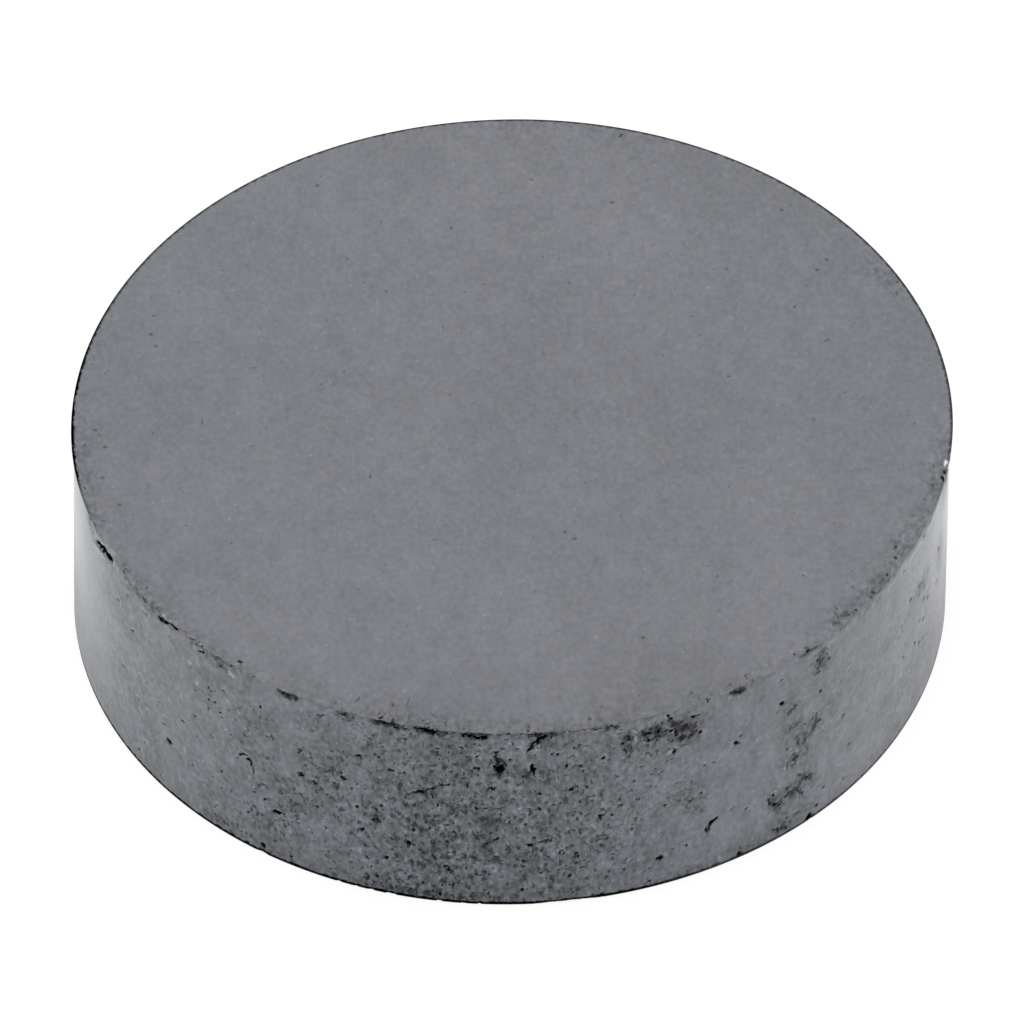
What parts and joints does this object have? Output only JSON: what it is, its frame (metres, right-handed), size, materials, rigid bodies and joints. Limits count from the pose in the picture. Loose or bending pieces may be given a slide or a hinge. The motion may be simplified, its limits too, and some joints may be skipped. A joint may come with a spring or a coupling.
{
  "type": "disc magnet",
  "caption": "Plain round ferrite magnet with two flat ground pole faces, used to hold on steel or to be set into a pocket.",
  "frame": {"origin": "centre of the disc on its lower pole face, under the middle of the whole disc", "axes": "+Z square to both ground pole faces, from the lower to the upper one; +X is the side towards which the unground round wall leans at the top, by 1.2 degrees; +Y is square to both"},
  "size_m": [0.0181, 0.0182, 0.0049],
  "materials": {
    "ferrite": "bare sintered ferrite, matt grey: ground smooth on both pole faces, finely pitted on the round wall, with small chips along the rims"
  },
  "bodies": {
    "root": {"magnet_disc": "ferrite"}
  },
  "joints": []
}
